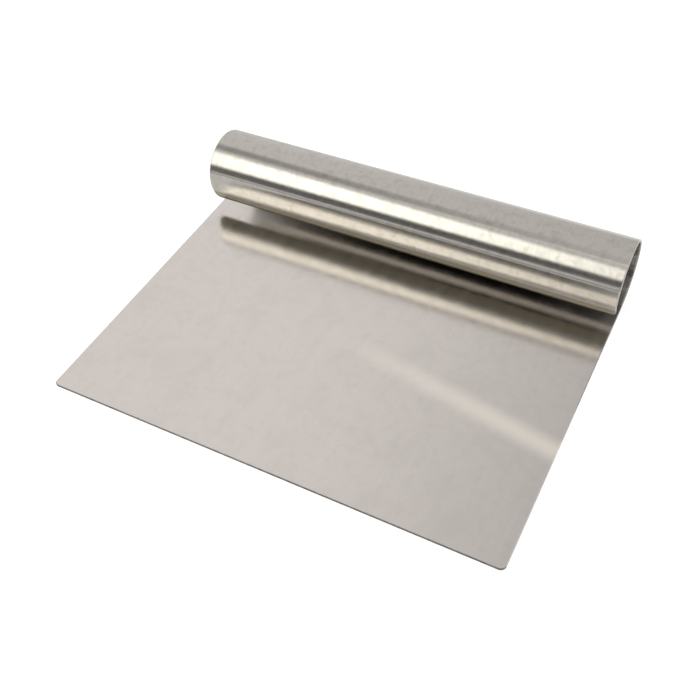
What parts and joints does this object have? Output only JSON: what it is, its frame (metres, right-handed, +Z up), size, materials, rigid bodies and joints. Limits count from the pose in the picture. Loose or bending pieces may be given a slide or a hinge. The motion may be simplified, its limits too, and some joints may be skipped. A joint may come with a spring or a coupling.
{
  "type": "dough scraper",
  "caption": "Flat stainless steel dough scraper bent from one sheet: a rectangular blade with rounded front corners, whose rear is rolled into an open round tube that serves as the handle.",
  "frame": {"origin": "under the middle of the tool's box, on the table that the blade lies on", "axes": "+X along the handle, +Y from the scraping edge to the handle, +Z up from the blade"},
  "size_m": [0.15, 0.119, 0.0255],
  "materials": {
    "blade_steel": "satin rolled sheet with faint grain from front to back",
    "handle_steel": "bright rolled sheet with fine brush lines round the roll and light smudges"
  },
  "bodies": {
    "root": {"blade": "blade_steel", "rolled_handle": "handle_steel"}
  },
  "joints": []
}
